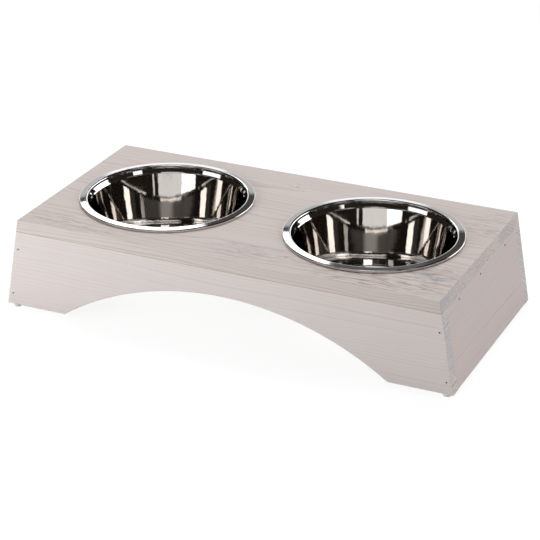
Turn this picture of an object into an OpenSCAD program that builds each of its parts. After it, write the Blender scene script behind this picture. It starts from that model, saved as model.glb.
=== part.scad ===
// Raised feeder for a dog: a low pine stand with leaning ends that carries two lift-out steel bowls.
// Millimetres. X runs along the stand, the front is at -Y, Z = 0 is the floor under the feet.

/* [Stand] */
// Height of the timber, from the lower edges to the upper face
timber_height = 116.5; // [98:0.5:170]
// Thickness of the boards
board_t = 16; // [14:0.5:20]
// Lean of the two ends, in degrees from upright
end_lean = 10; // [0:0.5:15]
// Board left between the rims of the two bowls
bowl_gap = 58; // [20:1:120]
// Board left between a rim and the end of the stand
end_margin = 25; // [22:1:80]
// Board left between a rim and the front or rear edge
side_margin = 29; // [20:1:80]
// Chamfer that eases the outer edges
edge_ease = 0.8; // [0.2:0.1:2]

/* [Arches] */
// Width of each leg at the lower edge of the front and rear panels
leg_width = 81.5; // [60:0.5:120]
// Rise of the arch above the lower edge
arch_rise = 67; // [20:1:70]

/* [Bowls] */
// Outer diameter of the rolled rim
rim_d = 222; // [190:1:280]
// Width of the rolled rim, measured radially
rim_width = 10.7; // [9.2:0.1:14]
// Height of the rolled rim above the board
rim_height = 4.5; // [3:0.1:5.2]
// Thickness of the steel sheet
sheet_t = 0.8; // [0.5:0.1:1.2]
// Depth inside, from the top of the rim to the bottom
bowl_depth = 88; // [50:0.5:105]
// Height of the tapered neck below the rim
neck_height = 4.5; // [3:0.5:14]
// Radius lost over the neck
neck_taper = 2.2; // [0.5:0.1:4]
// Step inwards at the foot of the neck
shoulder = 0.8; // [0.4:0.1:2]
// Radius lost from the top of the wall to the bottom
wall_taper = 13; // [1:0.1:20]
// Inside radius between wall and bottom
corner_r = 7; // [4:0.5:18]
// Radial gap between the neck and its cut-out in the board
bowl_clear = 1.5; // [0.5:0.1:3]

/* [Feet] */
// Height of a foot
foot_height = 5; // [4:0.5:12]
// Diameter of a foot against the timber
foot_top_d = 14; // [12:0.5:14]
// Diameter of a foot on the floor
foot_floor_d = 10.4; // [9.6:0.1:11.8]
// Distance of a foot's centre from the end of the stand
foot_inset = 10; // [8:0.5:30]

/* [Cleats] */
// Width of the strip under the top board
cleat_width = 16; // [12:0.5:16]
// Height of that strip
cleat_height = 22; // [18:0.5:24]
// Gap between an end of the strip and the panel beside it
cleat_end_gap = 4; // [0.5:0.5:20]

/* [Fastenings] */
// Shank diameter of a brad
brad_d = 1.4; // [1:0.1:1.8]
// Head diameter of a brad
brad_head_d = 2.2; // [2:0.1:3]
// Head thickness of a brad
brad_head_t = 0.9; // [0.5:0.1:1.5]
// Depth of a brad's head below the surface
brad_sink = 1; // [0.5:0.1:2]
// Length of a corner brad in the end panel
corner_brad_bite = 22; // [12:1:40]
// Distance of a corner brad from the end of the stand
corner_brad_inset = 6.3; // [5:0.1:11]
// Height of the lower corner brad above the lower edge
low_brad_z = 15.4; // [14:0.1:30]
// Height of the upper corner brad above the lower edge
high_brad_z = 77; // [50:0.5:78]
// Length of an end brad in the cleat
end_brad_bite = 14; // [8:0.5:15]
// Distance of the end brads below the top board
end_brad_drop = 4.7; // [3:0.1:8]
// Places of the end brads across the stand
end_brad_y = [-84, -9, 82]; // [-95:1:95]
// Shank diameter of a cleat screw
screw_d = 3.5; // [3:0.1:4.5]
// Head diameter of a cleat screw
screw_head_d = 6.8; // [6:0.1:8.5]
// Height of a cleat screw's countersunk head
screw_head_h = 2.2; // [1.6:0.1:3]
// Length of a cleat screw in the top board
screw_bite = 9; // [5:0.5:11]
// Distance of a cleat screw from the middle of the stand
screw_y = 45; // [25:1:65]
// Shank diameter of a foot nail
nail_d = 1.8; // [1.4:0.1:2.2]
// Head diameter of a foot nail
nail_head_d = 4.6; // [3.6:0.1:5]
// Head thickness of a foot nail
nail_head_t = 0.8; // [0.5:0.1:1.2]
// Height of a foot nail's head above the floor
nail_sink = 1.4; // [0.8:0.1:2]
// Length of a foot nail in the timber
nail_bite = 10; // [6:0.5:11]

/* [Hidden] */
$fn = 96;
// Clearance of every fastening in its hole
fit = 0.05;
// Length of a pointed tip, in shank diameters
tip_ratio = 1.2;
// Diameter left at a pointed tip, as a share of the shank
tip_share = 0.2;
// Width and depth of the cross in a screw head, as shares of the head
cross_width = 0.16;
cross_span = 0.6;
cross_depth = 0.6;
// Distance by which every cut runs past the surface that it opens
over = 1;
// Amount by which a round runs into the two sides that it joins
meet = 0.001;

rim_r = rim_d / 2;
top_length = 2 * rim_d + bowl_gap + 2 * end_margin;
base_length = top_length + 2 * timber_height * tan(end_lean);
stand_depth = rim_d + 2 * side_margin;
inner_depth = stand_depth - 2 * board_t;
bowl_x = (rim_d + bowl_gap) / 2;

low_z = foot_height;
top_z = low_z + timber_height;
under_z = top_z - board_t;
cleat_z = under_z - cleat_height;

arch_width = base_length - 2 * leg_width;
arch_r = (pow(arch_width / 2, 2) + pow(arch_rise, 2)) / (2 * arch_rise);
arch_z = low_z + arch_rise - arch_r;

neck_r = rim_r - rim_width;
shoulder_r = neck_r - neck_taper;
wall_r = shoulder_r - shoulder;
wall_z = -neck_height - shoulder;
floor_z = rim_height - bowl_depth;
wall_lean = atan(wall_taper / (wall_z - floor_z));
corner_z = floor_z + corner_r;
corner_x = wall_x(corner_z, -corner_r);
hole_r = neck_r + sheet_t + bowl_clear;

foot_x = base_length / 2 - foot_inset;
foot_y = (stand_depth - board_t) / 2;

// Width of an end panel as cut by a level plane
end_panel_x = board_t / cos(end_lean);
slope_length = timber_height / cos(end_lean);

// Distance from the middle of the stand to its leaning end, and to the inside of the end panel
function end_x(z) = base_length / 2 - (z - low_z) * tan(end_lean);
function inside_x(z) = end_x(z) - end_panel_x;

cleat_x = inside_x(under_z) - cleat_width;

// Radius of a bowl's wall at a height above the board, on the inside or grown outwards
function wall_x(z, grow) = wall_r + grow / cos(wall_lean) - (wall_z - z) * tan(wall_lean);

PINE_PAINT = [0.86, 0.82, 0.79];
PINE_RAW = [0.82, 0.68, 0.50];
STEEL = [0.78, 0.78, 0.80];
ZINC = [0.55, 0.55, 0.56];
FOOT_WHITE = [0.92, 0.91, 0.90];

// Puts what is drawn for the right end on the right (side = 1) or the left (side = -1)
module on_side(side) {
    mirror([side < 0 ? 1 : 0, 0, 0]) children();
}

// Puts what is drawn for the front on the front (row = -1) or the rear (row = 1)
module on_row(row) {
    mirror([0, row > 0 ? 1 : 0, 0]) children();
}

// Draws an outline given in X and Z through the depth of the stand
module through_depth(depth) {
    rotate([90, 0, 0]) linear_extrude(height = depth, center = true) children();
}

// Square bar on its corner, lying along X, that cuts the chamfer of an edge
module ease_bar(length) {
    bar = edge_ease * sqrt(2);
    rotate([45, 0, 0]) cube([length, bar, bar], center = true);
}

// Bar for the corner between the front and the right-hand end, which follows the lean of the end
module corner_ease_bar() {
    translate([end_x(low_z), -stand_depth / 2, low_z])
        rotate([0, 90 - end_lean, 0]) ease_bar(2 * (slope_length + over));
}

// Pointed fastening with a head, lying along +Z with the upper side of its head at the origin
module nail(d, head_d, head_t, length) {
    tip = tip_ratio * d;
    cylinder(d = head_d, h = head_t);
    cylinder(d = d, h = length - tip);
    translate([0, 0, length - tip]) cylinder(d1 = d, d2 = d * tip_share, h = tip);
}

// Hole for that fastening, open for a given height above its head
module nail_hole(d, head_d, head_t, length, open) {
    translate([0, 0, -open]) cylinder(d = head_d + 2 * fit, h = open + head_t + fit);
    cylinder(d = d + 2 * fit, h = length + fit);
}

module brad(bite) {
    translate([0, 0, brad_sink]) nail(brad_d, brad_head_d, brad_head_t, board_t - brad_sink + bite);
}

module brad_hole(bite) {
    translate([0, 0, brad_sink])
        nail_hole(brad_d, brad_head_d, brad_head_t, board_t - brad_sink + bite, brad_sink + over);
}

// Places of the two brads at the right-hand end of the front panel, pointing into the panel
module at_corner_brads() {
    for (z = [low_z + low_brad_z, low_z + high_brad_z])
        translate([end_x(z) - corner_brad_inset, -stand_depth / 2, z]) rotate([-90, 0, 0]) children();
}

// Places of the brads along the top of the right end panel, square to its face
module at_end_brads() {
    z = under_z - end_brad_drop;
    for (y = end_brad_y)
        translate([end_x(z), y, z]) rotate([0, -90 - end_lean, 0]) children();
}

// Places of the screws that go up through the right cleat
module at_cleat_screws() {
    for (y = [-screw_y, screw_y])
        translate([cleat_x + cleat_width / 2, y, cleat_z]) children();
}

// Place of the nail in the front right foot, pointing up
module at_foot_nail() {
    translate([foot_x, -foot_y, nail_sink]) children();
}

module foot_nail() {
    nail(nail_d, nail_head_d, nail_head_t, foot_height - nail_sink + nail_bite);
}

module foot_nail_hole() {
    nail_hole(nail_d, nail_head_d, nail_head_t, foot_height - nail_sink + nail_bite, nail_sink + over);
}

module cleat_screw() {
    length = cleat_height + screw_bite;
    tip = tip_ratio * screw_d;
    difference() {
        union() {
            cylinder(d1 = screw_head_d, d2 = screw_d, h = screw_head_h);
            cylinder(d = screw_d, h = length - tip);
        }
        for (turn = [0, 90])
            rotate(turn)
                cube([screw_head_d * cross_span, screw_head_d * cross_width,
                    2 * screw_head_h * cross_depth], center = true);
    }
    translate([0, 0, length - tip]) cylinder(d1 = screw_d, d2 = screw_d * tip_share, h = tip);
}

// Hole for that screw, whose countersink runs on below the cleat
module cleat_screw_hole() {
    hole_d = screw_d + 2 * fit;
    flare = (screw_head_d - screw_d) * (screw_head_h + over) / screw_head_h;
    translate([0, 0, -over]) cylinder(d1 = hole_d + flare, d2 = hole_d, h = screw_head_h + over);
    cylinder(d = hole_d, h = cleat_height + screw_bite + fit);
}

// Cut-out for a bowl, with both of its edges eased
module bowl_hole() {
    flare = edge_ease + over;
    translate([0, 0, under_z - over]) {
        cylinder(r = hole_r, h = board_t + 2 * over);
        cylinder(r1 = hole_r + flare, r2 = hole_r, h = flare);
        translate([0, 0, board_t + 2 * over - flare]) cylinder(r1 = hole_r, r2 = hole_r + flare, h = flare);
    }
}

module top_board() {
    color(PINE_PAINT)
    difference() {
        through_depth(stand_depth)
            polygon([
                [-end_x(under_z), under_z], [end_x(under_z), under_z],
                [end_x(top_z), top_z], [-end_x(top_z), top_z]
            ]);
        for (side = [-1, 1]) {
            translate([side * bowl_x, 0, 0]) bowl_hole();
            translate([0, side * stand_depth / 2, top_z]) ease_bar(base_length);
            translate([side * end_x(top_z), 0, top_z]) rotate(90) ease_bar(stand_depth + 2 * over);
            on_side(side) {
                on_row(-1) corner_ease_bar();
                on_row(1) corner_ease_bar();
                at_cleat_screws() cleat_screw_hole();
            }
        }
    }
}

// Upright panel of the front: an arch below, leaning ends, and eased outer edges
module long_panel() {
    color(PINE_PAINT)
    difference() {
        translate([0, -foot_y, 0])
            through_depth(board_t)
                polygon([
                    [-end_x(low_z), low_z], [end_x(low_z), low_z],
                    [end_x(under_z), under_z], [-end_x(under_z), under_z]
                ]);
        translate([0, -stand_depth / 2 - over, arch_z]) rotate([-90, 0, 0]) {
            flare = edge_ease + over;
            cylinder(r = arch_r, h = board_t + 2 * over, $fn = 4 * $fn);
            cylinder(r1 = arch_r + flare, r2 = arch_r, h = flare, $fn = 4 * $fn);
        }
        translate([0, -stand_depth / 2, low_z]) ease_bar(base_length + 2 * over);
        for (side = [-1, 1])
            on_side(side) {
                corner_ease_bar();
                at_corner_brads() brad_hole(corner_brad_bite);
                at_foot_nail() foot_nail_hole();
            }
    }
}

module front_panel() {
    on_row(-1) long_panel();
}

module rear_panel() {
    on_row(1) long_panel();
}

// Leaning board that closes an end between the front and rear panels
module end_panel(side) {
    color(PINE_PAINT)
    on_side(side)
    difference() {
        through_depth(inner_depth)
            polygon([
                [inside_x(low_z), low_z], [end_x(low_z), low_z],
                [end_x(under_z), under_z], [inside_x(under_z), under_z]
            ]);
        translate([end_x(low_z), 0, low_z]) rotate(90) ease_bar(stand_depth);
        for (row = [-1, 1])
            on_row(row) at_corner_brads() brad_hole(corner_brad_bite);
        at_end_brads() brad_hole(end_brad_bite);
    }
}

module left_end_panel() {
    end_panel(-1);
}

module right_end_panel() {
    end_panel(1);
}

// Strip under the top board, bevelled to lie flat against the inside of the end panel
module cleat(side) {
    color(PINE_RAW)
    on_side(side)
    difference() {
        through_depth(inner_depth - 2 * cleat_end_gap)
            polygon([
                [cleat_x, cleat_z], [inside_x(cleat_z), cleat_z],
                [inside_x(under_z), under_z], [cleat_x, under_z]
            ]);
        at_end_brads() brad_hole(end_brad_bite);
        at_cleat_screws() cleat_screw_hole();
    }
}

module left_cleat() {
    cleat(-1);
}

module right_cleat() {
    cleat(1);
}

// What the round of a corner takes away from a section. The round has its middle at center, and from and to
// are the directions in which it meets the two sides.
module corner_waste(center, r, from, to) {
    reach = r + over;
    difference() {
        polygon([center, center + reach * from, center + reach * (from + to), center + reach * to]);
        translate(center) circle(r + meet);
    }
}

// Corner between the wall and the bottom of a bowl, on the inside or grown outwards by the sheet thickness
module cup_corner_waste(grow) {
    corner_waste([corner_x, corner_z], corner_r + grow, [cos(wall_lean), -sin(wall_lean)], [0, -1]);
}

// Both upper corners of the rim, on the outside or shrunk inwards by the sheet thickness
module rim_corner_waste(shrink) {
    corner_waste([neck_r + rim_height, 0], rim_height - shrink, [-1, 0], [0, 1]);
    corner_waste([rim_r - rim_height, 0], rim_height - shrink, [1, 0], [0, 1]);
}

// Space inside the cup, open through the mouth
module cup_space() {
    difference() {
        polygon([
            [0, rim_height + over],
            [neck_r, rim_height + over],
            [neck_r, 0],
            [shoulder_r, -neck_height],
            [wall_x(wall_z, 0), wall_z],
            [wall_x(floor_z, 0), floor_z],
            [0, floor_z]
        ]);
        cup_corner_waste(0);
    }
}

// Space under the rolled rim, open to the board
module rim_space() {
    difference() {
        translate([neck_r + sheet_t, -over]) square([rim_width - 2 * sheet_t, rim_height - sheet_t + over]);
        rim_corner_waste(sheet_t);
    }
}

// Section through one side of a bowl: the radius runs along X, and the height above the board along Y
module bowl_section() {
    step_z = wall_z - sheet_t * tan(45 / 2);
    under = floor_z - sheet_t;
    difference() {
        polygon([
            [0, rim_height],
            [rim_r, rim_height],
            [rim_r, 0],
            [neck_r + sheet_t, 0],
            [shoulder_r + sheet_t, step_z + shoulder],
            [wall_x(step_z, sheet_t), step_z],
            [wall_x(under, sheet_t), under],
            [0, under]
        ]);
        rim_corner_waste(0);
        cup_corner_waste(sheet_t);
        cup_space();
        rim_space();
    }
}

// Drawn sheet-steel bowl whose open rolled rim stands on the board by its outer edge
module bowl(side) {
    color(STEEL)
    translate([side * bowl_x, 0, top_z]) rotate_extrude() bowl_section();
}

module left_bowl() {
    bowl(-1);
}

module right_bowl() {
    bowl(1);
}

// Conical glide with a recessed hole for its nail
module foot(side, row) {
    color(FOOT_WHITE)
    on_side(side) on_row(row)
    difference() {
        translate([foot_x, -foot_y, 0]) {
            cylinder(d1 = foot_floor_d - 2 * edge_ease, d2 = foot_floor_d, h = edge_ease);
            translate([0, 0, edge_ease])
                cylinder(d1 = foot_floor_d, d2 = foot_top_d, h = foot_height - edge_ease);
        }
        at_foot_nail() foot_nail_hole();
    }
}

module foot_front_left() {
    foot(-1, -1);
}

module foot_front_right() {
    foot(1, -1);
}

module foot_rear_left() {
    foot(-1, 1);
}

module foot_rear_right() {
    foot(1, 1);
}

module foot_nails() {
    color(ZINC)
    for (side = [-1, 1], row = [-1, 1])
        on_side(side) on_row(row) at_foot_nail() foot_nail();
}

module corner_brads(side, row) {
    color(ZINC)
    on_side(side) on_row(row) at_corner_brads() brad(corner_brad_bite);
}

module front_left_brads() {
    corner_brads(-1, -1);
}

module front_right_brads() {
    corner_brads(1, -1);
}

module rear_left_brads() {
    corner_brads(-1, 1);
}

module rear_right_brads() {
    corner_brads(1, 1);
}

module end_brads(side) {
    color(ZINC)
    on_side(side) at_end_brads() brad(end_brad_bite);
}

module left_end_brads() {
    end_brads(-1);
}

module right_end_brads() {
    end_brads(1);
}

module cleat_screws(side) {
    color(ZINC)
    on_side(side) at_cleat_screws() cleat_screw();
}

module left_cleat_screws() {
    cleat_screws(-1);
}

module right_cleat_screws() {
    cleat_screws(1);
}

top_board();
front_panel();
rear_panel();
left_end_panel();
right_end_panel();
left_cleat();
right_cleat();
left_bowl();
right_bowl();
foot_front_left();
foot_front_right();
foot_rear_left();
foot_rear_right();
foot_nails();
front_left_brads();
front_right_brads();
rear_left_brads();
rear_right_brads();
left_end_brads();
right_end_brads();
left_cleat_screws();
right_cleat_screws();
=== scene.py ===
"""Looks of a raised dog feeder: whitewashed pine boards, polished steel bowls and small plastic feet."""
import math

import bpy
from mathutils import Matrix, Vector


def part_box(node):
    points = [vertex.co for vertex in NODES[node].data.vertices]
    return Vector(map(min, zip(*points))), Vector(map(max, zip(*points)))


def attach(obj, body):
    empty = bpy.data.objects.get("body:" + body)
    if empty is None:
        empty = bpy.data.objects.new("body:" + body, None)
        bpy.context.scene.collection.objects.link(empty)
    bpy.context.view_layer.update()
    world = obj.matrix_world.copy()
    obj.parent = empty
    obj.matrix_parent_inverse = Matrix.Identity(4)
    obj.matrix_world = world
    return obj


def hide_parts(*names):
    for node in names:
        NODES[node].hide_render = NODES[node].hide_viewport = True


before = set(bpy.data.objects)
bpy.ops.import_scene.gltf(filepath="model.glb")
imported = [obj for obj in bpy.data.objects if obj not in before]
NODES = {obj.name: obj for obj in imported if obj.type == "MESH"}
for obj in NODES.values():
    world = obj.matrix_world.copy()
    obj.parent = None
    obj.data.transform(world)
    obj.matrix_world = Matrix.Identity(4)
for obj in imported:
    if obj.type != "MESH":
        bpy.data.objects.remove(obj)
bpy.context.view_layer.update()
MM = 0.001

# Heights of the top board's two faces
BOARD_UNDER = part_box("top_board")[0].z
BOARD_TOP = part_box("top_board")[1].z

# Section of a bowl
RIM_WIDTH = 10.7 * MM
RIM_INNER_ROUND = 2.4 * MM
RIM_OUTER_ROUND = 1.4 * MM
RIM_FALL = 0.75 * MM
SHEET = 0.8 * MM
NECK_HEIGHT = 4.5 * MM
NECK_TAPER = 2.2 * MM
SHOULDER = 0.8 * MM
SHOULDER_DROP = 1.35 * MM
CREASE_ROUND = 0.7 * MM
WALL_TAPER = 13 * MM
CORNER_ROUND = 7 * MM
TURN_STEPS = 224
ARC_STEPS = 12
ARC_LEAD = 0.1 * MM

# Brads in the end panels: places across the stand, height, and reach of the painted shade round their holes
END_BRADS = (-0.084, -0.009, 0.082)
END_BRAD_HEIGHT = BOARD_UNDER - 4.7 * MM
HOLE_SHADE_REACH = 1.9 * MM

# Span along the top board in which the pale glaze of its front edge thins out
PALE_EDGE_FADE = (-0.22, 0.06)

# Heights between which the glue under the top board fades out on its front edge
GLUE_FADE = (BOARD_UNDER + 0.45 * MM, BOARD_UNDER + 0.9 * MM)

# Noises in the wood, in cells per metre along, across and through the grain
WAVER_CELLS = (2.3, 9, 9)
RIPPLE_CELLS = (14, 60, 60)
FIBRE_CELLS = (26, 1500, 1500)
BRUSH_CELLS = (3, 120, 120)
CLOUD_CELLS = (7, 16, 16)
SPECK_CELLS = (300, 420, 420)
SOAK_CELLS = (1, 22, 22)
DASH_CELLS = (60, 680, 680)
SQUEEZE_CELLS = (30, 0, 0)

# How far the growth rings stray, and the height of the latewood above the rest
WAVER = 24 * MM
RIPPLE = 2.4 * MM
GRAIN_RELIEF = 0.12 * MM

# Noises on the steel, in cells per radian round the bowl and per metre up and outwards
WAVE_CELLS = (3.2, 26, 26)
DENT_CELLS = (24, 130, 130)
# Turning marks, in cells per metre outwards and up and per radian round the bowl
LATHE_CELLS = (2600, 2600, 3)

WHITE = (1.0, 1.0, 1.0, 1.0)
DARK_STEEL = (0.675, 0.635, 0.595, 1.0)
LIGHT_STEEL = (0.735, 0.70, 0.658, 1.0)

# Floor: half its width, the grey that takes the shadow, and the glow that is seen with its share
FLOOR_REACH = 6.0
FLOOR_GREY = (0.86, 0.86, 0.86, 1.0)
FLOOR_GLOW = 1.12
FLOOR_SHARE = 0.80

# Camera of the photograph: a square frame of 540 pixels
PHOTO_PIXELS = 540
FOCAL_PIXELS = 1978.5
SENSOR_MM = 36.0
VIEW_AZIMUTH = math.radians(24.54)
VIEW_ELEVATION = math.radians(24.89)
CAMERA_PLACE = (0.9335, -2.0403, 1.0891)

# Studio that the bowls mirror: azimuth from +X, half width and softness of the sides, lower and upper
# elevation, all in degrees, and brightness of each panel. Its darker rest is the room.
PANEL_BLUR = math.radians(0.5)
PANELS = [
    # White backdrop behind the object, with a brighter part to its right and a narrow strip to its left
    (89.5, 54.5, 0.5, -10, 16.2, 1.3),
    (68, 33, 0.5, 16.2, 22.2, 1.3),
    (140, 9, 0.5, 16.2, 22.2, 1.3),
    (116, 15, 0.5, 16.2, 22.2, 0.6),
    (54, 21, 0.5, -10, 16.2, 1.7),
    (46, 13, 0.5, 16.2, 22.2, 1.7),
    (158, 2.2, 0.5, -10, 16.2, 1.2),
    # Lamps above the backdrop, whose strip shows on the near left of the rims, and the dim gap between them
    (128.3, 13.3, 0.5, 23.6, 34.5, 3.2),
    (136, 5.6, 0.5, 22.2, 23.6, 3.2),
    (56, 8, 0.5, 23.6, 31, 1.0),
    (104, 11, 0.5, 22.2, 34, 0.06),
    # Reflectors on the camera's side
    (-138, 26, 0.5, 34, 64, 0.3),
    (-80, 28, 0.5, 38, 60, 0.7),
    (-17, 7, 0.5, 25, 29, 1.5),
    (0, 15, 0.5, 55, 63, 1.2),
    (-133, 15, 0.5, 18, 25, 1.6),
    (-153, 8, 0.5, 46, 52, 1.2),
    # Pale walls of the room
    (-75, 50, 15, 31, 36, 0.15),
    (-55, 28, 15, 31, 36, 0.45),
    (48, 67, 15, 31, 36, 0.1),
    (-172, 43, 15, 31, 36, 0.15),
    # Lamps overhead and the pale ceiling
    (-80, 57, 0.5, 61, 68.5, 2.6),
    (-88, 22, 0.5, 70, 79, 2.0),
    (0, 181, 0.5, 80, 91, 1.2),
]

# Cool daylight of the panels and the brown dark of the room
PANEL_TINT = (0.955, 1.0, 1.075, 1.0)
ROOM_COLOUR = (0.021, 0.0175, 0.0145, 1.0)

# Light on everything but the steel: the world's level, and softboxes by name, place, the point that they
# face, width and height, and watts
AMBIENT = 0.25
SOFTBOXES = [
    ("key", (-1.0, -1.3, 0.55), (-0.15, 0, 0.06), (0.8, 0.7), 14.5),
    ("overhead", (-0.15, 0.6, 1.7), (0, 0, 0.1), (1.0, 0.7), 15.5),
    ("fill", (1.7, 0.1, 0.8), (0.3, 0, 0.06), (0.5, 0.7), 6.8),
]


class Shader:
    """A node tree with one short call for each node that is added."""

    def __init__(self, tree):
        self.tree = tree

    def add(self, kind, inputs=None, **settings):
        node = self.tree.nodes.new(kind)
        for name, value in settings.items():
            setattr(node, name, value)
        for key, value in (inputs or {}).items():
            self.feed(node.inputs[key], value)
        return node

    def feed(self, socket, value):
        if isinstance(value, bpy.types.NodeSocket):
            self.tree.links.new(value, socket)
        else:
            socket.default_value = value

    def math(self, operation, a, b=0.0, c=0.0):
        return self.add("ShaderNodeMath", {0: a, 1: b, 2: c}, operation=operation).outputs[0]

    def total(self, first, *others):
        for other in others:
            first = self.math("ADD", first, other)
        return first

    def product(self, first, *others):
        for other in others:
            first = self.math("MULTIPLY", first, other)
        return first

    def vector_math(self, operation, a, b=(0, 0, 0)):
        return self.add("ShaderNodeVectorMath", {0: a, 1: b}, operation=operation)

    def split(self, vector):
        return self.add("ShaderNodeSeparateXYZ", {0: vector}).outputs

    def join(self, x, y, z):
        return self.add("ShaderNodeCombineXYZ", {0: x, 1: y, 2: z}).outputs[0]

    def stretch(self, vector, x, y, z):
        return self.vector_math("MULTIPLY", vector, (x, y, z)).outputs[0]

    def length(self, vector):
        return self.vector_math("LENGTH", vector).outputs["Value"]

    def noise(self, vector, scale=1.0, detail=2.0, roughness=0.5):
        inputs = {"Vector": vector, "Scale": scale, "Detail": detail, "Roughness": roughness}
        return self.add("ShaderNodeTexNoise", inputs).outputs["Fac"]

    def around(self, noise, reach, middle=0.0):
        """A noise turned into a value that strays from a middle by up to half its reach."""
        return self.math("MULTIPLY_ADD", noise, reach, middle - reach / 2)

    def stepped(self, coordinate, starts, values):
        """A value that changes to the next of its values at each start along a coordinate."""
        level = values[0]
        for start, before, after in zip(starts, values, values[1:]):
            past = self.math("GREATER_THAN", coordinate, start)
            level = self.math("MULTIPLY_ADD", past, after - before, level)
        return level

    def smooth(self, value, low, high, to_low=0.0, to_high=1.0):
        inputs = {"Value": value, 1: low, 2: high, 3: to_low, 4: to_high}
        return self.add("ShaderNodeMapRange", inputs, interpolation_type="SMOOTHSTEP").outputs[0]

    def mix(self, factor, a, b, blend="MIX"):
        node = self.add("ShaderNodeMix", {0: factor, 6: a, 7: b}, data_type="RGBA", blend_type=blend)
        return node.outputs[2]

    def shade(self, colour, factor):
        return self.mix(1.0, colour, self.join(factor, factor, factor), "MULTIPLY")

    def bump(self, height, distance, strength=1.0, normal=None):
        inputs = {"Height": height, "Distance": distance, "Strength": strength}
        if normal is not None:
            inputs["Normal"] = normal
        return self.add("ShaderNodeBump", inputs).outputs[0]


def new_material(name):
    """An empty material, its shader helper and its Principled node."""
    material = bpy.data.materials.new(name)
    material.use_nodes = True
    material.node_tree.nodes.clear()
    shader = Shader(material.node_tree)
    principled = shader.add("ShaderNodeBsdfPrincipled")
    shader.add("ShaderNodeOutputMaterial", {"Surface": principled.outputs[0]})
    return material, shader, principled


def rgb(red, green, blue):
    """Linear colour of a colour written in the 0 to 255 steps of a screen."""
    def linear(step):
        value = step / 255
        return value / 12.92 if value <= 0.04045 else ((value + 0.055) / 1.055) ** 2.4
    return (linear(red), linear(green), linear(blue), 1.0)


def spot(s, along, across, place, reach):
    """Distance from a place on a board, in shares of the spot's reach along and across it."""
    return s.length(s.join(s.math("DIVIDE", s.math("SUBTRACT", along, place[0]), reach[0]),
                           s.math("DIVIDE", s.math("SUBTRACT", across, place[1]), reach[1]), 0.0))


def growth_rings(s, grain, seams, piths, ring, band, knots):
    """Share of latewood at each point of a board, and how far the point lies in a knot.

    Every strip between two seams comes from another place in the tree, so each has its own pith, given
    across and through the board. band is the share of a ring at which its latewood starts.
    """
    along, across, through = s.split(grain)
    off_across = s.math("SUBTRACT", across, s.stepped(across, seams, [pith[0] for pith in piths]))
    off_through = s.math("SUBTRACT", through, s.stepped(across, seams, [pith[1] for pith in piths]))
    waver = s.around(s.noise(s.stretch(grain, *WAVER_CELLS), detail=3.0), WAVER)
    ripple = s.around(s.noise(s.stretch(grain, *RIPPLE_CELLS), detail=3.0), RIPPLE)
    radius = s.total(s.length(s.join(0.0, off_across, off_through)), waver, ripple)
    eye = 0.0
    for place, size in knots:
        gap = spot(s, along, across, place, (1.4 * size, size))
        radius = s.total(radius, s.smooth(gap, 0.0, 5.0, 1.4 * size, 0.0))
        eye = s.math("MAXIMUM", eye, s.smooth(gap, 0.35, 1.0, 1.0, 0.0))
    uneven = s.noise(s.join(s.product(radius, 70.0), s.product(along, 0.6), 0.0), detail=1.0)
    phase = s.math("FRACT", s.total(s.math("DIVIDE", radius, ring), s.product(uneven, 3.0)))
    latewood = s.product(s.smooth(phase, band, 0.90), s.smooth(phase, 0.91, 0.99, 1.0, 0.0))
    return latewood, eye


def stained_and_shaded(s, colour, grain, sides, stains_and_shade):
    """A board's colour with stains, as grain streaks or smooth pools of glaze, and smooth pools of painted
    shade.
    """
    dash = s.smooth(s.noise(s.stretch(grain, *DASH_CELLS), detail=2.0), 0.48, 0.66)
    textures = {"streaks": dash, "pool": 1.0}
    for side, place, reach, mark_colour, strength, texture in stains_and_shade:
        mask, u, v = sides[side]
        near = s.smooth(spot(s, u, v, place, reach), 0.2, 1.0, strength, 0.0)
        colour = s.mix(s.product(mask, textures[texture], near), colour, mark_colour)
    return colour


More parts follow.
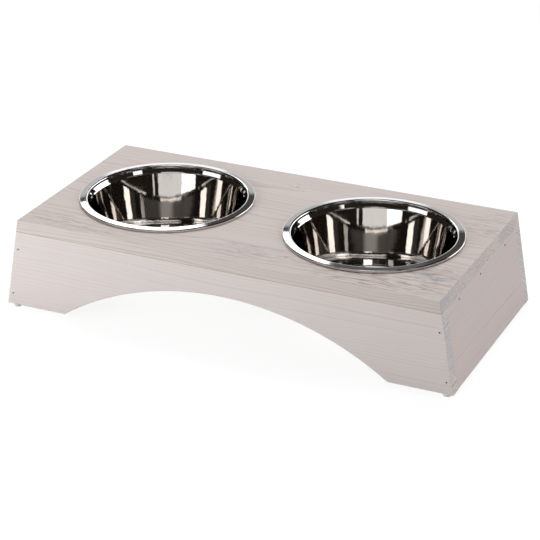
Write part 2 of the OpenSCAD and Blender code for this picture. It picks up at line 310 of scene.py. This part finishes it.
def pine(name, axes, piths, ring, early, late, end_early, end_late, edge_early=None, seams=(), band=0.3,
         shading=0.1, knots=(), stains_and_shade=(), glue_line=None):
    """Pine whose growth rings run through the whole board.

    axes names the coordinates along the grain, across the board and through its thickness. early and late
    are the colours in a ring, end_early and end_late those on the end grain, and edge_early shows where the
    glaze lies thick on an edge. The list of stains also holds spots of painted shade; each is given by the
    side it lies on, its place and reach there, colour, strength and texture. glue_line is the colour of the
    glue along the bottom of an edge.
    """
    material, s, principled = new_material(name)
    coordinates = s.add("ShaderNodeTexCoord").outputs
    order = ["XYZ".index(axis) for axis in axes]
    place = s.split(coordinates["Object"])
    facing = s.split(coordinates["Normal"])
    along, across, through = (place[i] for i in order)
    grain = s.join(along, across, through)
    latewood, eye = growth_rings(s, grain, seams, piths, ring, band, knots)

    # The glaze lies thicker in some brush strokes and lets fibres and latewood show through
    fibre = s.noise(s.stretch(grain, *FIBRE_CELLS), detail=3.0, roughness=0.6)
    brush = s.noise(s.stretch(grain, *BRUSH_CELLS), detail=4.0, roughness=0.6)
    cloud = s.noise(s.stretch(grain, *CLOUD_CELLS), detail=2.0)
    end, edge, flat = (s.smooth(s.math("ABSOLUTE", facing[i]), 0.80, 0.92) for i in order)
    if edge_early:
        pale = s.product(edge, s.smooth(along, *PALE_EDGE_FADE, 1.0, 0.0))
        early = s.mix(pale, early, edge_early)
    face = s.mix(s.product(latewood, s.smooth(brush, 0.30, 0.70, 0.35, 1.0)), early, late)
    strokes = s.total(s.around(fibre, shading, 1.0), s.around(brush, shading), s.around(cloud, 0.05))
    face = s.shade(face, strokes)

    # End grain soaks up the glaze unevenly and shows the rings as arcs
    speck = s.noise(s.stretch(grain, *SPECK_CELLS), detail=3.0, roughness=0.7)
    soak = s.noise(s.stretch(grain, *SOAK_CELLS), detail=2.0)
    arcs = s.mix(s.smooth(soak, 0.30, 0.56), end_early, end_late)
    arcs = s.shade(arcs, s.total(s.around(speck, 1.1, 1.0), s.product(latewood, -0.26)))
    colour = s.mix(end, face, arcs)

    sides = {"flat": (flat, along, across), "edge": (edge, along, through), "end": (end, across, through),
             "all": (1.0, along, across)}
    colour = stained_and_shaded(s, colour, grain, sides, stains_and_shade)
    if knots:
        colour = s.mix(s.product(eye, 0.6), colour, KNOT_GREY)
    if glue_line:
        low = s.smooth(through, *GLUE_FADE, 1.0, 0.0)
        squeeze = s.smooth(s.noise(s.stretch(grain, *SQUEEZE_CELLS)), 0.30, 0.60, 0.45, 0.95)
        colour = s.mix(s.product(low, edge, squeeze), colour, glue_line)

    s.feed(principled.inputs["Base Color"], colour)
    s.feed(principled.inputs["Roughness"], s.smooth(brush, 0.2, 0.8, 0.50, 0.68))
    raised = s.total(s.product(latewood, 0.6), s.product(fibre, 0.4))
    s.feed(principled.inputs["Normal"], s.bump(raised, GRAIN_RELIEF, 0.4))
    principled.inputs["Specular IOR Level"].default_value = 0.35
    return material


def polished_steel():
    """Stainless sheet with faint turning marks and the slight waves and dents of drawn, polished metal."""
    material, s, principled = new_material("polished_steel")
    place = s.add("ShaderNodeTexCoord").outputs["Object"]
    x, y, height = s.split(place)
    radius = s.length(s.join(x, y, 0.0))
    turn = s.math("ARCTAN2", y, x)
    round_bowl = s.join(turn, height, radius)
    lathe = s.noise(s.stretch(s.join(radius, height, turn), *LATHE_CELLS), detail=3.0, roughness=0.7)
    wave = s.noise(s.stretch(round_bowl, *WAVE_CELLS), detail=2.0)
    dent = s.noise(s.stretch(round_bowl, *DENT_CELLS), detail=2.0)
    smear = s.noise(place, scale=42.0, detail=4.0, roughness=0.6)
    dented = s.bump(dent, 0.03 * MM, 0.6, s.bump(wave, 0.9 * MM, 0.05))
    s.feed(principled.inputs["Normal"], s.bump(lathe, 0.002 * MM, 0.1, dented))
    s.feed(principled.inputs["Roughness"], s.smooth(smear, 0.30, 0.75, 0.02, 0.05))
    s.feed(principled.inputs["Base Color"], s.mix(smear, DARK_STEEL, LIGHT_STEEL))
    principled.inputs["Metallic"].default_value = 1.0
    return material


def moulded_plastic():
    """White plastic of the feet, with a fine moulded grain."""
    material, s, principled = new_material("moulded_plastic")
    place = s.add("ShaderNodeTexCoord").outputs["Object"]
    grain = s.noise(place, scale=1400.0, detail=2.0)
    cloud = s.noise(place, scale=160.0, detail=2.0)
    s.feed(principled.inputs["Base Color"], s.mix(cloud, rgb(226, 223, 218), rgb(240, 238, 235)))
    s.feed(principled.inputs["Roughness"], s.smooth(cloud, 0.3, 0.7, 0.36, 0.48))
    s.feed(principled.inputs["Normal"], s.bump(grain, 0.05 * MM, 0.4))
    return material


def zinc_plate():
    """Dull plated steel of the brads, nails and screws, darker than plating as painted shade of sunk heads.
    """
    material, s, principled = new_material("zinc_plate")
    place = s.add("ShaderNodeTexCoord").outputs["Object"]
    bloom = s.noise(place, scale=900.0, detail=3.0)
    # Near-black colours: painted shade of the sunk heads on top of the plating's own grey
    s.feed(principled.inputs["Base Color"], s.mix(bloom, rgb(30, 30, 34), rgb(58, 58, 63)))
    s.feed(principled.inputs["Roughness"], s.smooth(bloom, 0.3, 0.7, 0.35, 0.6))
    s.feed(principled.inputs["Normal"], s.bump(bloom, 0.03 * MM, 0.3))
    principled.inputs["Metallic"].default_value = 0.9
    return material


def rounded_path(corners):
    """Points of a path whose corners, given as (x, y, radius), are rounded by tangent arcs.

    A point just before and just after each arc keeps the smooth shading of the arc off the straight parts.
    """
    points = [Vector(corners[0][:2])]
    for before, corner, after in zip(corners, corners[1:], corners[2:]):
        here = Vector(corner[:2])
        back = (Vector(before[:2]) - here).normalized()
        ahead = (Vector(after[:2]) - here).normalized()
        half = back.angle(ahead) / 2
        reach = corner[2] / math.tan(half)
        center = here + (back + ahead).normalized() * (corner[2] / math.sin(half))
        first = here + back * reach - center
        last = here + ahead * reach - center
        turn = first.angle_signed(last)
        points.append(here + back * (reach + ARC_LEAD))
        for step in range(ARC_STEPS + 1):
            angle = -turn * step / ARC_STEPS
            points.append(center + Matrix.Rotation(angle, 2) @ first)
        points.append(here + ahead * (reach + ARC_LEAD))
    points.append(Vector(corners[-1][:2]))
    return points


def offset_path(points, distance):
    """The same path moved sideways, to the right of its direction, by a distance."""
    moved = []
    for i, point in enumerate(points):
        ahead = points[min(i + 1, len(points) - 1)] - points[max(i - 1, 0)]
        normal = Vector((ahead.y, -ahead.x)).normalized()
        moved.append(point + normal * distance)
    return moved


def bowl_section(rim_radius, rim_top, floor):
    """Closed section of the bowl's sheet, with heights from the board that carries its rim."""
    neck = rim_radius - RIM_WIDTH
    shoulder = neck - NECK_TAPER
    wall = shoulder - SHOULDER
    inside = rounded_path([
        (0, floor, 0),
        (wall - WALL_TAPER, floor, CORNER_ROUND),
        (wall, -NECK_HEIGHT - SHOULDER_DROP, CREASE_ROUND),
        (shoulder, -NECK_HEIGHT, CREASE_ROUND),
        (neck, 0, CREASE_ROUND),
        (neck, rim_top, RIM_INNER_ROUND),
        (rim_radius, rim_top - RIM_FALL, RIM_OUTER_ROUND),
        (rim_radius, 0, 0),
    ])
    outside = offset_path(inside, SHEET)
    outside[0].x = 0
    outside[-1].y = 0
    return inside + outside[::-1]


def lathe_mesh(name, section):
    """Mesh of a section turned about the vertical axis."""
    vertices, faces, rings = [], [], []
    for point in section:
        if point.x < 1e-9:
            rings.append([len(vertices)] * TURN_STEPS)
            vertices.append((0, 0, point.y))
            continue
        rings.append(list(range(len(vertices), len(vertices) + TURN_STEPS)))
        for step in range(TURN_STEPS):
            angle = 2 * math.pi * step / TURN_STEPS
            vertices.append((point.x * math.cos(angle), point.x * math.sin(angle), point.y))
    for lower, upper in zip(rings, rings[1:] + rings[:1]):
        for step in range(TURN_STEPS):
            following = (step + 1) % TURN_STEPS
            corners = (lower[step], lower[following], upper[following], upper[step])
            face = tuple(dict.fromkeys(corners))
            if len(face) > 2:
                faces.append(face)
    mesh = bpy.data.meshes.new(name)
    mesh.from_pydata(vertices, [], faces)
    mesh.validate()
    mesh.shade_smooth()
    return mesh


def add_bowl(node, material):
    """Dresses one bowl: a finely turned mesh stands for the CAD node and lifts out with it."""
    low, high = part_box(node)
    section = bowl_section((high.x - low.x) / 2, high.z - BOARD_TOP, low.z + SHEET - BOARD_TOP)
    mesh = lathe_mesh(node, section)
    mesh.materials.append(material)
    piece = bpy.data.objects.new(node + "_polished", mesh)
    piece.location = ((low.x + high.x) / 2, (low.y + high.y) / 2, BOARD_TOP)
    bpy.context.scene.collection.objects.link(piece)
    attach(piece, node)
    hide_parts(node)


def dress(nodes, material):
    """Gives CAD nodes one material."""
    for name in nodes:
        slots = NODES[name].data.materials
        slots.clear()
        slots.append(material)


def add_floor():
    """Pale floor that shows white to the camera and in reflections, and keeps the object's shadow."""
    half = FLOOR_REACH
    corners = [(-half, -half, 0), (half, -half, 0), (half, half, 0), (-half, half, 0)]
    mesh = bpy.data.meshes.new("floor")
    mesh.from_pydata(corners, [], [(0, 1, 2, 3)])
    floor = bpy.data.objects.new("floor", mesh)
    bpy.context.scene.collection.objects.link(floor)
    material = bpy.data.materials.new("pale_floor")
    material.use_nodes = True
    material.node_tree.nodes.clear()
    s = Shader(material.node_tree)
    ray = s.add("ShaderNodeLightPath").outputs
    seen = s.total(ray["Is Camera Ray"], ray["Is Glossy Ray"], ray["Is Transmission Ray"])
    seen = s.math("MINIMUM", seen, 1.0)
    glow = s.add("ShaderNodeEmission", {"Color": WHITE, "Strength": FLOOR_GLOW}).outputs[0]
    matt = s.add("ShaderNodeBsdfDiffuse", {"Color": FLOOR_GREY}).outputs[0]
    blended = s.add("ShaderNodeMixShader", {0: s.product(seen, FLOOR_SHARE), 1: matt, 2: glow}).outputs[0]
    s.add("ShaderNodeOutputMaterial", {"Surface": blended})
    mesh.materials.append(material)


def studio_level(s):
    """Brightness of the studio's panels in each direction."""
    direction = s.add("ShaderNodeTexCoord").outputs["Generated"]
    elevation = s.math("ARCSINE", s.split(direction)[2])
    heading = s.vector_math("NORMALIZE", s.stretch(direction, 1, 1, 0)).outputs[0]
    level = 0.0
    for *angles, strength in PANELS:
        azimuth, half_width, side_blur, low, high = (math.radians(angle) for angle in angles)
        middle = (math.cos(azimuth), math.sin(azimuth), 0)
        side = s.math("ARCCOSINE", s.vector_math("DOT_PRODUCT", heading, middle).outputs["Value"])
        glow = s.product(
            s.smooth(side, half_width - side_blur, half_width + side_blur, strength, 0.0),
            s.smooth(elevation, low - PANEL_BLUR, low + PANEL_BLUR),
            s.smooth(elevation, high - PANEL_BLUR, high + PANEL_BLUR, 1.0, 0.0))
        level = s.total(level, glow)
    return level


def add_world():
    """White to the camera, a studio of pale panels to the polished steel and plain light to the rest."""
    world = bpy.data.worlds.new("studio")
    bpy.context.scene.world = world
    world.use_nodes = True
    world.node_tree.nodes.clear()
    s = Shader(world.node_tree)
    ray = s.add("ShaderNodeLightPath").outputs
    level = studio_level(s)
    plain = s.add("ShaderNodeBackground", {"Color": WHITE, "Strength": AMBIENT}).outputs[0]
    panels = s.add("ShaderNodeBackground", {"Color": PANEL_TINT, "Strength": level}).outputs[0]
    room = s.add("ShaderNodeBackground", {"Color": ROOM_COLOUR, "Strength": 1.0}).outputs[0]
    studio = s.add("ShaderNodeAddShader", {0: panels, 1: room}).outputs[0]
    backdrop = s.add("ShaderNodeBackground", {"Color": WHITE, "Strength": 1.0}).outputs[0]
    shown = s.add("ShaderNodeMixShader", {0: ray["Is Glossy Ray"], 1: plain, 2: studio}).outputs[0]
    clear = s.math("MAXIMUM", ray["Is Camera Ray"], ray["Is Transmission Ray"])
    shown = s.add("ShaderNodeMixShader", {0: clear, 1: shown, 2: backdrop}).outputs[0]
    s.add("ShaderNodeOutputWorld", {"Surface": shown})


def add_softbox(name, place, target, size, watts):
    """Rectangular studio lamp that faces a point."""
    lamp = bpy.data.lights.new(name, "AREA")
    lamp.shape = "RECTANGLE"
    lamp.size, lamp.size_y = size
    lamp.energy = watts
    box = bpy.data.objects.new(name, lamp)
    box.location = place
    box.rotation_euler = (Vector(target) - Vector(place)).to_track_quat("-Z", "Y").to_euler()
    box.visible_camera = False
    box.visible_glossy = False
    bpy.context.scene.collection.objects.link(box)


def add_camera():
    """Camera at the photograph's place, with its lens."""
    camera = bpy.data.cameras.new("camera")
    camera.sensor_fit = "HORIZONTAL"
    camera.sensor_width = SENSOR_MM
    camera.lens = FOCAL_PIXELS / PHOTO_PIXELS * SENSOR_MM
    body = bpy.data.objects.new("camera", camera)
    body.location = CAMERA_PLACE
    body.rotation_euler = (math.pi / 2 - VIEW_ELEVATION, 0, VIEW_AZIMUTH)
    bpy.context.scene.collection.objects.link(body)
    bpy.context.scene.camera = body


BLUE_GREY = rgb(154, 153, 161)
TAN = rgb(222, 205, 194)
BROWN_GREY = rgb(170, 154, 144)
PALE_BLUE = rgb(222, 226, 230)
KNOT_GREY = rgb(148, 146, 152)
# Painted shade in and round the brads' sunk holes
HOLE_SHADE_GREY = rgb(62, 58, 60)
SOAKED_END = {"end_early": rgb(220, 208, 201), "end_late": rgb(202, 195, 197)}
GLAZED_END = {"end_early": rgb(221, 211, 206), "end_late": rgb(209, 203, 204)}

top_pine = pine(
    "top_pine", "XYZ",
    seams=[-0.062, 0.040], piths=[(-0.065, -0.015), (-0.010, 0.055), (0.085, 0.060)],
    ring=3.4 * MM, band=0.5, shading=0.07,
    early=rgb(213, 203, 199), late=rgb(198, 183, 176), edge_early=rgb(214, 206, 203),
    knots=[((0.0695, -0.1025), 3.0 * MM), ((-0.005, 0.101), 2.4 * MM)],
    stains_and_shade=[
        ("flat", (0.025, -0.108), (0.085, 0.034), BLUE_GREY, 0.7, "streaks"),
        ("flat", (0.235, -0.075), (0.060, 0.050), BLUE_GREY, 1.2, "streaks"),
        ("flat", (0.190, -0.118), (0.120, 0.040), BROWN_GREY, 1.5, "streaks"),
        ("flat", (0.255, 0.080), (0.045, 0.065), BROWN_GREY, 0.7, "streaks"),
        ("flat", (-0.215, -0.125), (0.125, 0.045), BROWN_GREY, 0.6, "streaks"),
        ("flat", (0.0405, -0.1385), (0.005, 0.003), BLUE_GREY, 1.0, "streaks"),
        ("edge", (0.290, 0.1105), (0.016, 0.010), PALE_BLUE, 0.7, "pool"),
        ("end", (0.000, 0.113), (0.055, 0.040), TAN, 1.5, "streaks"),
    ],
    glue_line=rgb(176, 142, 116), **SOAKED_END)
panel_pine = pine(
    "panel_pine", "XZY", piths=[(-0.25, -0.10)], ring=4.5 * MM, band=0.62,
    early=rgb(223, 215, 212), late=rgb(215, 205, 201), shading=0.03, **GLAZED_END)
end_pine = pine(
    "end_pine", "YZX", piths=[(-0.22, 0.20)], ring=3.8 * MM, band=0.55,
    early=rgb(216, 203, 199), late=rgb(206, 191, 186), shading=0.05,
    # Painted shade: a dark pool round each brad's sunk hole
    stains_and_shade=[("all", (y, END_BRAD_HEIGHT), (HOLE_SHADE_REACH, HOLE_SHADE_REACH), HOLE_SHADE_GREY, 1.8, "pool")
            for y in END_BRADS],
    **GLAZED_END)
bare_pine = pine(
    "bare_pine", "YZX", piths=[(0.05, 0.22)], ring=3.0 * MM,
    early=rgb(222, 192, 148), late=rgb(190, 146, 98),
    end_early=rgb(205, 170, 125), end_late=rgb(176, 136, 94))

dress(["top_board"], top_pine)
dress(["front_panel", "rear_panel"], panel_pine)
dress(["left_end_panel", "right_end_panel"], end_pine)
dress(["left_cleat", "right_cleat"], bare_pine)
dress([name for name in NODES if name.startswith("foot_") and name != "foot_nails"], moulded_plastic())
dress([name for name in NODES if name.endswith(("brads", "screws", "nails"))], zinc_plate())

steel = polished_steel()
add_bowl("left_bowl", steel)
add_bowl("right_bowl", steel)

add_floor()
add_world()
for softbox in SOFTBOXES:
    add_softbox(*softbox)
add_camera()
bpy.context.scene.view_settings.view_transform = "Standard"
